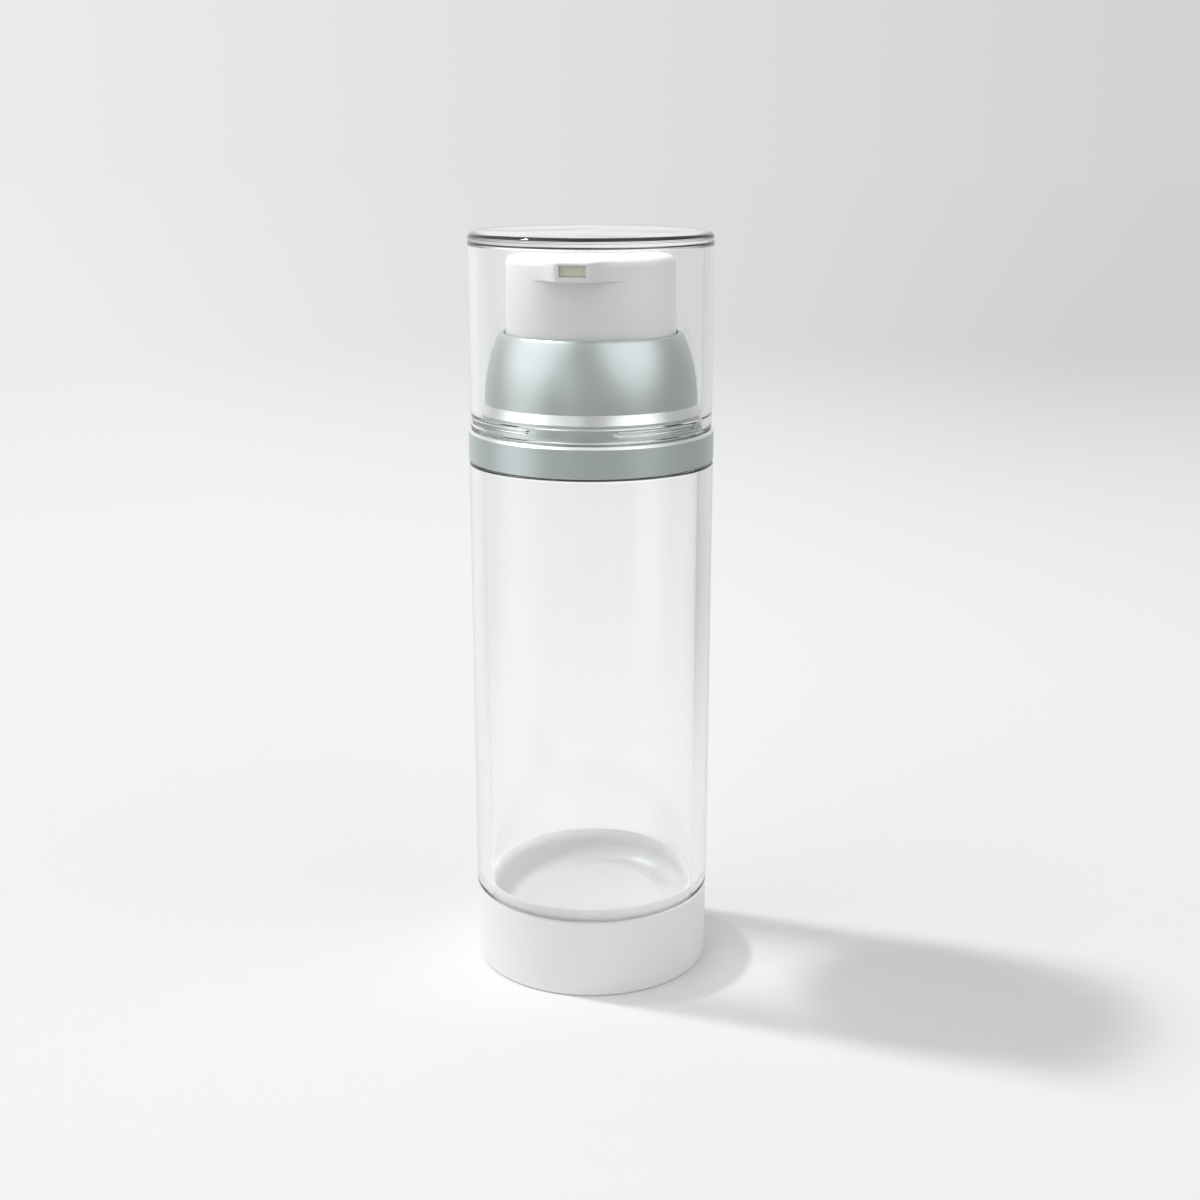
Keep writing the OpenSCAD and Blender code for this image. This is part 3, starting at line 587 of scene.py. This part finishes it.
SHELL_T, LIP_R, LIP_BORE_R, LIP_TOP, LIP_CHAMFER = 0.9, 14.1, 13.4, 103.0, 0.2
GRIP_R, GRIP_BORE_R, GRIP_LOW, GRIP_TOP = 15.35, 14.65, 87.9, 93.3
BELL_H, BELL_IN = LIP_TOP - SEAT, SEAT_R - LIP_R
BELL_ARC = (BELL_H**2 + BELL_IN**2) / (2 * BELL_IN)


def bell_wall(radius, low, high, steps):
    """Points on the bell's arc between two heights, for its outer or its inner radius."""
    centre = SEAT_R - BELL_ARC
    rise = [low + (high - low) * k / steps for k in range(steps + 1)]
    return [(centre + math.sqrt(radius**2 - (z - SEAT) ** 2), z, None) for z in rise]


bell_outline = [
    (GRIP_BORE_R, GRIP_LOW, 0.1),
    (GRIP_R, GRIP_LOW, 0.1),
    (GRIP_R, SEAT, 0.05),
    (SEAT_R, SEAT, 0.08),
    *bell_wall(BELL_ARC, SEAT + 0.15, LIP_TOP - LIP_CHAMFER - 0.1, 14),
    (LIP_R, LIP_TOP - LIP_CHAMFER, 0.1),
    (LIP_R - LIP_CHAMFER, LIP_TOP, 0.1),
    (LIP_BORE_R, LIP_TOP, 0.1),
    (LIP_BORE_R, LIP_TOP - 0.6, 0.1),
    *bell_wall(BELL_ARC - SHELL_T, LIP_TOP - 0.9, GRIP_TOP + 0.1, 10),
    (GRIP_BORE_R, GRIP_TOP, 0.1),
]
bell_mesh = turned("silver_bell", bell_outline)
stand("silver_bell", bell_mesh, satin_silver, "bottle", "satin_silver", "collar_shell")

# %% [markdown]
# The button is turned as well, and its spout is drawn by pushing the turned wall outward where the spout is,
# as a potter pulls a lip. The plan of the spout is a flat front, two flares and a soft root. The rows of
# points under it fold into a flat underside, and the rows above it run up to the top, so the mesh stays one
# clean grid. Two rows and two columns lie on the edges of the opening.

# %% White button with its spout
BUTTON_R, BUTTON_TOP_R, SKIRT_LOW, BUTTON_TOP = 13.15, 12.9, 99.6, 114.5
BUTTON_ROUND, BUTTON_BORE_R, BUTTON_CEILING = 1.1, 11.85, 113.2
SOCKET_R, SOCKET_TOP, BOSS_R, BOSS_LOW = 2.65, 111.1, 4.9, 107.35
TIP, TIP_HALF, ROOT_HALF, UNDERSIDE = 16.005, 2.525, 5.5, 111.45
SLOT_HALF, SLOT_LOW, SLOT_HIGH, SLOT_EDGE = 1.925, 112.35, 114.0, 0.08
SPOUT_REACH, CORNER_BLEND, ROOT_BLEND, TIP_ROUND, ROUND_RUN = 40, 0.35, 1.4, 0.34, 2.2
ROOT_BACK = math.sqrt((BUTTON_TOP_R - 0.5) ** 2 - ROOT_HALF**2)
WALL_TOP = BUTTON_TOP - BUTTON_ROUND


def soft_most(a, b, blend):
    """The larger of two numbers, with the corner between them rounded over a blend length."""
    h = max(blend - abs(a - b), 0) / blend
    return max(a, b) + h * h * blend / 4


def spout_plan(angle, wall):
    """Radius of the button with its spout, seen from above, at an angle from the +X axis."""
    off = abs((angle + 90 + 180) % 360 - 180)
    if off > SPOUT_REACH:
        return wall
    s, c = math.sin(math.radians(off)), math.cos(math.radians(off))
    run, fall = ROOT_HALF - TIP_HALF, TIP - ROOT_BACK
    flare = (TIP_HALF * fall + TIP * run) / (s * fall + c * run)
    tip = -soft_most(-TIP / c, -flare, CORNER_BLEND)
    return soft_most(wall, tip, ROOT_BLEND)


# Each row under the spout: its share of the way from wall to front, and its height over the underside
FOLD = [
    (0, -0.40),
    (0.03, -0.17),
    (0.09, -0.05),
    (0.20, 0),
    (0.85, 0.02),
    (0.955, 0.06),
    (0.99, 0.14),
    (1, 0.32),
]
UNDER_SLOT, SLOT_ROWS, ROWS_TOP = UNDERSIDE + 0.6, (112.9, 113.5), SLOT_HIGH + SLOT_EDGE
rows = [UNDERSIDE + v for _, v in FOLD] + [UNDER_SLOT, SLOT_LOW - SLOT_EDGE, *SLOT_ROWS, ROWS_TOP]
# The rows of the top edge and of the top are told apart by this step, before each is moved to its place
ROW_STEP = 0.01
TURN = [k * 90 / 6 for k in range(7)]
TOP_IN_R, TOP_ROWS = BUTTON_TOP_R - BUTTON_ROUND - 0.8, 3


def wall_radius(z):
    """Radius of the button's drafted side at a height."""
    return BUTTON_R + (BUTTON_TOP_R - BUTTON_R) * (z - SKIRT_LOW) / (WALL_TOP - SKIRT_LOW)


def pull_spout(r, z, angle):
    """Folds the rows of the button's upper side and edge out into the spout."""
    if z < rows[0] - 1e-6 or r < BUTTON_BORE_R + 0.1:
        return r, z
    wall = wall_radius(min(z, WALL_TOP))
    plan = spout_plan(angle, wall)
    out = plan - wall
    run = min(out / ROUND_RUN, 1)
    share = run**2 * (3 - 2 * run)
    edge = BUTTON_ROUND + (TIP_ROUND - BUTTON_ROUND) * share
    if z <= ROWS_TOP + 1e-6:
        k = min(range(len(rows)), key=lambda n: abs(rows[n] - z))
        if k < len(FOLD):
            return wall + out * FOLD[k][0], z
        top = BUTTON_TOP - edge
        folded = rows[len(FOLD) - 1]
        squeezed = folded + (top - folded) * (z - folded) / (ROWS_TOP - folded)
        return plan, z if share > 0.999 else min(squeezed + (z - squeezed) * share, top)
    k = round((z - ROWS_TOP) / ROW_STEP) - 1
    if k < len(TURN):
        t = math.radians(TURN[k])
        return plan - edge + edge * math.cos(t), BUTTON_TOP - edge + edge * math.sin(t)
    left = TOP_ROWS - 1 - (k - len(TURN))
    return TOP_IN_R + (plan - edge - TOP_IN_R) * left / TOP_ROWS, BUTTON_TOP


button_outline = [
    (0, SOCKET_TOP, 0),
    (SOCKET_R, SOCKET_TOP, 0.1),
    (SOCKET_R, BOSS_LOW, 0.15),
    (BOSS_R, BOSS_LOW, 0.3),
    (BOSS_R, BUTTON_CEILING, 0.3),
    (BUTTON_BORE_R, BUTTON_CEILING, 0.5),
    (BUTTON_BORE_R, SKIRT_LOW, 0.2),
    (BUTTON_R, SKIRT_LOW, 0.25),
    *[(wall_radius(z), z, None) for z in (102, 105, 108, 110)],
    *[(BUTTON_TOP_R, z, None) for z in rows],
    *[(BUTTON_TOP_R, ROWS_TOP + ROW_STEP * (k + 1), None) for k in range(len(TURN) + TOP_ROWS)],
    (8.0, BUTTON_TOP, None),
    (4.0, BUTTON_TOP, None),
    (0, BUTTON_TOP, 0),
]
# Columns by their angle from the spout: close together on its sides, where it curves, and 3 degrees apart
# round the rest of the button
slot_off = math.degrees(math.atan((SLOT_HALF + SLOT_EDGE) / TIP))
half = [0, 2.4, 4.8, slot_off, 7.7, 8.3, 8.9, 9.6, 10.5, 11.8, 13.2, 14.8, 16.4, 18, 19.6]
half += [21.2, 22.8, 24.4, 26, 28, 30.5, 33.5, 37, *range(41, 180, 3)]
button_angles = sorted({-90 + a for a in half} | {-90 - a for a in half})
button_mesh = turned("white_button", button_outline, closed=False, angles=button_angles, form=pull_spout)
print("button columns:", len(button_angles), "rows under the spout:", len(rows))

# %% [markdown]
# The opening is cut by leaving out the faces that its rows and columns enclose, and by running a pocket
# inward from their edge, which the beige nozzle insert fills. A bevel of 0.08 mm on the way in keeps the edge
# from looking cut by a knife. Under the top, ribs and the duct's housing join the boss to the wall.

# %% Cut the spout's opening
bm = bmesh.new()
bm.from_mesh(button_mesh)


def in_slot(face):
    """True for the faces of the spout's front that the opening takes away."""
    c = face.calc_center_median() / MM
    inside = abs(c.x) < SLOT_HALF and SLOT_LOW < c.z < SLOT_HIGH
    return inside and c.y < -TIP + 0.2


bmesh.ops.delete(bm, geom=[f for f in bm.faces if in_slot(f)], context="FACES")
rim = [e for e in bm.edges if e.is_boundary]
middle = (SLOT_LOW + SLOT_HIGH) / 2 * MM
# A point that is farther than this from the opening's middle lies on its edge and draws in with the bevel
PAST_X, PAST_Z, POCKET = 1.5, 0.7, 3.6
for inward, shrink in ((SLOT_EDGE, SLOT_EDGE), (POCKET, 0)):
    grown = bmesh.ops.extrude_edge_only(bm, edges=rim)["geom"]
    for v in (g for g in grown if isinstance(g, bmesh.types.BMVert)):
        up = v.co.z - middle
        v.co.y += inward * MM
        v.co.x -= math.copysign(shrink * MM, v.co.x) if abs(v.co.x) > PAST_X * MM else 0
        v.co.z -= math.copysign(shrink * MM, up) if abs(up) > PAST_Z * MM else 0
    rim = [g for g in grown if isinstance(g, bmesh.types.BMEdge) and g.is_boundary]
bmesh.ops.holes_fill(bm, edges=rim, sides=0)
bm.to_mesh(button_mesh)
bm.free()
RIB_LOW = (BOSS_R - 0.4, -0.4, BUTTON_CEILING - 2.4)
RIB_HIGH = (BUTTON_BORE_R + 0.4, 0.4, BUTTON_CEILING + 0.2)
DUCT_LOW = (-TIP_HALF, -BUTTON_BORE_R - 0.3, UNDERSIDE)
DUCT_HIGH = (TIP_HALF, -BOSS_R + 1.5, BUTTON_CEILING + 0.2)
button_ribs = [(90 + 60 * (k + 0.5), RIB_LOW, RIB_HIGH) for k in range(6)]
ribbed(button_mesh, [*button_ribs, (0, DUCT_LOW, DUCT_HIGH)])
stand("white_button", button_mesh, white_pp, "button", "white_pp", "actuator")

# %% [markdown]
# The nozzle insert is a block of silicone set back in the opening. Its slit opens only under pressure, so at
# rest the block is drawn shut.

# %% Beige nozzle insert
low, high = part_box("nozzle_insert")
insert_mesh = bpy.data.meshes.new("beige_nozzle_insert")
ribbed(insert_mesh, [(0, low / MM, high / MM)], 0.12)
insert_mesh.shade_smooth()
stand("beige_nozzle_insert", insert_mesh, beige_elastomer, "button", "beige_elastomer", "nozzle_insert")

# %% [markdown]
# The return spring is one wire wound round the pump's guide. A tube is swept along its helix, whose end turns
# lie closer than the working ones, as on a spring that has been set.

# %% Return spring
WIRE_R, COIL_R, TURNS, END_PITCH = 0.4, 4.3, 5, 1.25
STEPS, SIDES = 40, 12
low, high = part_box("return_spring")
spring_low, spring_high = low.z / MM + WIRE_R, high.z / MM - WIRE_R
PITCH = (spring_high - spring_low - 2 * END_PITCH) / (TURNS - 2)
wire = []
for i in range(round(TURNS * STEPS) + 1):
    turn = i / STEPS
    ends = min(turn, 1) + max(turn - TURNS + 1, 0)
    z = spring_low + END_PITCH * ends + PITCH * min(max(turn - 1, 0), TURNS - 2)
    wire.append(Vector((COIL_R * math.cos(math.tau * turn), COIL_R * math.sin(math.tau * turn), z)))
verts, faces = [], []
for i, here in enumerate(wire):
    along = (wire[min(i + 1, len(wire) - 1)] - wire[max(i - 1, 0)]).normalized()
    out = Vector((here.x, here.y, 0)).normalized()
    side = along.cross(out)
    for k in range(SIDES):
        t = math.tau * k / SIDES
        verts.append((here + WIRE_R * (math.cos(t) * out + math.sin(t) * side)) * MM)
for i in range(len(wire) - 1):
    for k in range(SIDES):
        a, b = i * SIDES + k, i * SIDES + (k + 1) % SIDES
        faces.append((a, b, b + SIDES, a + SIDES))
faces += [tuple(range(SIDES))[::-1], tuple(len(verts) - SIDES + k for k in range(SIDES))]
spring_mesh = bpy.data.meshes.new("return_spring_wire")
spring_mesh.from_pydata(verts, [], faces)
spring_mesh.shade_smooth()
stand("return_spring_wire", spring_mesh, spring_steel, "bottle", "spring_steel", "return_spring")

# %% [markdown]
# The other solids of the pump have their true shape already, so they keep their meshes and only get a
# finish. Where the frame's solid is right, there is nothing to gain by drawing it twice.

# %% Finish the solids that stay
FINISHES = {
    "natural_pp": natural_pp,
    "soft_pe": soft_pe,
    "polished_steel": polished_steel,
}
for row in frame["record"]["subparts"]:
    finish = FINISHES.get(row["material_slot"])
    if finish:
        solid = NODES[row["node"]]
        solid.data.materials.clear()
        solid.data.materials.append(finish)
        print(row["node"], "is", finish.name)

# %% [markdown]
# The room is described once, by how bright it is in each direction, because the silver and the clear walls
# show it. A broad glow high on the left stands for the window and one on the right front for a pale wall:
# they make the bell's two highlights. Fainter ones lie overhead, at the back and just left of the camera. The
# backdrop that the camera sees is plain paper, which fades to the right. What the silver mirrors is the room
# at its full brightness. Matt surfaces get a share of it, and those behind clear walls a larger one, which
# makes up for the light that those walls lose in the rendering.

# %% How bright the room is
BASE_GLOW, AMBIENT, THROUGH = 0.52, 0.65, 1.0
PAPER_LEFT, PAPER_RIGHT, PAPER_SPAN = 0.86, 0.645, 0.35
ROOM_TINT = linear("#fcfdfd")


def aim(turn, up):
    """A unit direction: degrees to the right of the camera's side, and degrees above the horizon."""
    across, rise = math.radians(turn), math.radians(up)
    near, right = Vector((math.sin(YAW), -math.cos(YAW), 0)), Vector((math.cos(YAW), math.sin(YAW), 0))
    flat = near * math.cos(across) + right * math.sin(across)
    return flat * math.cos(rise) + Vector((0, 0, math.sin(rise)))


# Each entry: the direction it lies in, the cosines where it begins and is full, and what it adds
PATCHES = [
    (aim(-74, 34), 0.68, 0.99, 1.30),
    (aim(52, 37), 0.74, 0.99, 1.20),
    (aim(-22, 14), 0.955, 0.99, 0.30),
    (aim(-150, 0), 0.55, 0.95, 0.22),
    (aim(180, 5), 0.40, 0.95, 0.20),
    (aim(0, 90), 0.60, 1.00, 0.35),
]


def glow(tree, way):
    """The room's brightness along a direction: a base level and soft round patches."""
    level = put(tree, "ShaderNodeValue").outputs[0]
    level.default_value = BASE_GLOW
    for direction, begins, full, adds in PATCHES:
        near = put(tree, "ShaderNodeVectorMath", {1: direction}, {0: way}, operation="DOT_PRODUCT")
        amount = put(
            tree,
            "ShaderNodeMapRange",
            {"From Min": begins, "From Max": full, "To Min": 0.0, "To Max": adds},
            {"Value": near.outputs["Value"]},
            interpolation_type="SMOOTHSTEP",
        )
        level = put(
            tree, "ShaderNodeMath", links={0: level, 1: amount.outputs[0]}, operation="ADD"
        ).outputs[0]
    return level


def backdrop(tree, way):
    """The paper's brightness along a direction: it fades away from the window."""
    aside = put(tree, "ShaderNodeVectorMath", {1: aim(90, 0)}, {0: way}, operation="DOT_PRODUCT")
    return put(
        tree,
        "ShaderNodeMapRange",
        {"From Min": -PAPER_SPAN, "From Max": PAPER_SPAN, "To Min": PAPER_LEFT, "To Max": PAPER_RIGHT},
        {"Value": aside.outputs["Value"]},
    ).outputs[0]


def kinds(tree):
    """Three switches, each 1 for its rays: mirrored, scattered, and scattered but inside a clear wall."""
    path = put(tree, "ShaderNodeLightPath")
    bounced, soft = (
        put(tree, "ShaderNodeMath", {1: 0.5}, {0: path.outputs[depth]}, operation="GREATER_THAN").outputs[0]
        for depth in ("Glossy Depth", "Diffuse Depth")
    )
    mirrored = put(
        tree, "ShaderNodeMath", links={0: bounced, 1: soft}, operation="SUBTRACT", use_clamp=True
    )
    inside = put(
        tree, "ShaderNodeMath", links={0: soft, 1: path.outputs["Is Transmission Ray"]}, operation="MULTIPLY"
    )
    return mirrored.outputs[0], soft, inside.outputs[0]


print("the window lies along", [round(c, 2) for c in PATCHES[0][0]])

# %% [markdown]
# The bottle stands on a sheet of white card. Its colour darkens to the right, away from the window: painted
# shade, for the window's light falling off. Far from the bottle the card turns into the room's own
# brightness, so that there is no horizon. For mirrored rays it turns sooner, since the silver shows mostly
# far floor. The lengths are in metres.

# %% White card
CARD_R, CARD_SIDES, FADE_FROM, FADE_TO, SOONER = 4, 64, 0.15, 0.9, 2.5
SHADE_FROM_X, SHADE_TO_X, CARD_WHITE, CARD_IN_PAINTED_SHADE = -0.02, 0.14, 0.885, 0.84
card, tree, out = fresh("white_matt_card")
place = put(tree, "ShaderNodeTexCoord").outputs["Object"]
mirrored, *_ = kinds(tree)
distance = put(tree, "ShaderNodeVectorMath", links={0: place}, operation="LENGTH")
way = put(tree, "ShaderNodeVectorMath", links={0: place}, operation="NORMALIZE").outputs[0]
sooner = put(tree, "ShaderNodeMath", {1: SOONER, 2: 1.0}, {0: mirrored}, operation="MULTIPLY_ADD")
reach = put(
    tree,
    "ShaderNodeMath",
    links={0: distance.outputs["Value"], 1: sooner.outputs[0]},
    operation="MULTIPLY",
)
far = put(
    tree,
    "ShaderNodeMapRange",
    {"From Min": FADE_FROM, "From Max": FADE_TO},
    {"Value": reach.outputs[0]},
    interpolation_type="SMOOTHSTEP",
)
tone = put(tree, "ShaderNodeMix", links={0: mirrored, 2: backdrop(tree, way), 3: glow(tree, way)})
# The card's colour darkens from left to right: painted shade for the window's light falling off.
across = put(tree, "ShaderNodeSeparateXYZ", links={0: place}).outputs["X"]
white = put(
    tree,
    "ShaderNodeMapRange",
    {"From Min": SHADE_FROM_X, "From Max": SHADE_TO_X, "To Min": CARD_WHITE, "To Max": CARD_IN_PAINTED_SHADE},
    {"Value": across},
)
paper = put(tree, "ShaderNodeBsdfDiffuse", links={"Color": white.outputs[0]})
haze = put(tree, "ShaderNodeEmission", {"Color": ROOM_TINT}, {"Strength": tone.outputs[0]})
sheet = put(
    tree,
    "ShaderNodeMixShader",
    links={0: far.outputs[0], 1: paper.outputs[0], 2: haze.outputs[0]},
)
tree.links.new(sheet.outputs[0], out.inputs["Surface"])
floor_mesh = bpy.data.meshes.new("card")
spins = [math.tau * k / CARD_SIDES for k in range(CARD_SIDES)]
rim_points = [(CARD_R * math.cos(t), CARD_R * math.sin(t), 0) for t in spins]
floor_mesh.from_pydata(rim_points, [], [list(range(CARD_SIDES))])
floor_mesh.materials.append(card)
floor = bpy.data.objects.new("card", floor_mesh)
bpy.context.scene.collection.objects.link(floor)
floor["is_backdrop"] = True

# %% [markdown]
# Daylight comes from high on the left, a little behind the bottle: the shadow's direction and length give its
# place, and its soft edge gives its width. The rest of the light is the room's own, at a share that leaves
# the card white in the light and pale grey in the shadow.

# %% Daylight and room
SUN_FROM, SUN_UP, SUN_WIDE = math.radians(169.99), math.radians(56.4), math.radians(4.5)
SUN_POWER = 1.25
sun = bpy.data.objects.new("daylight", bpy.data.lights.new("daylight", "SUN"))
sun.data.energy, sun.data.angle = SUN_POWER, SUN_WIDE
toward = Vector(
    (math.cos(SUN_UP) * math.cos(SUN_FROM), math.cos(SUN_UP) * math.sin(SUN_FROM), math.sin(SUN_UP))
)
sun.rotation_mode = "QUATERNION"
sun.rotation_quaternion = toward.to_track_quat("Z", "Y")
bpy.context.scene.collection.objects.link(sun)

room = bpy.data.worlds.new("room")
bpy.context.scene.world = room
room.use_nodes = True
tree = room.node_tree
tree.nodes.clear()
way = put(tree, "ShaderNodeTexCoord").outputs["Generated"]
mirrored, soft, inside = kinds(tree)
share = put(tree, "ShaderNodeMapRange", {"To Min": AMBIENT, "To Max": THROUGH}, {"Value": inside})
level = glow(tree, way)
lit = put(tree, "ShaderNodeMath", links={0: level, 1: share.outputs[0]}, operation="MULTIPLY")
seen = put(tree, "ShaderNodeMix", links={0: mirrored, 2: backdrop(tree, way), 3: level})
strength = put(tree, "ShaderNodeMix", links={0: soft, 2: seen.outputs[0], 3: lit.outputs[0]})
light = put(tree, "ShaderNodeBackground", {"Color": ROOM_TINT}, {"Strength": strength.outputs[0]})
put(tree, "ShaderNodeOutputWorld", links={"Surface": light.outputs[0]})
bpy.context.scene.view_settings.view_transform = "Standard"
print(f"daylight from azimuth {math.degrees(SUN_FROM):.0f} and {math.degrees(SUN_UP):.0f} degrees up")

# %% [markdown]
# The meshes must not be larger than the solids that they stand for, since the part is used at its CAD size.

# %% How far the boxes differ
NEW_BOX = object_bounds()
growth = max(abs(a - b) for c, v in zip(CAD_BOX, NEW_BOX) for a, b in zip(c, v)) / MM
print(f"the boxes differ by {growth:.3f} mm at most")
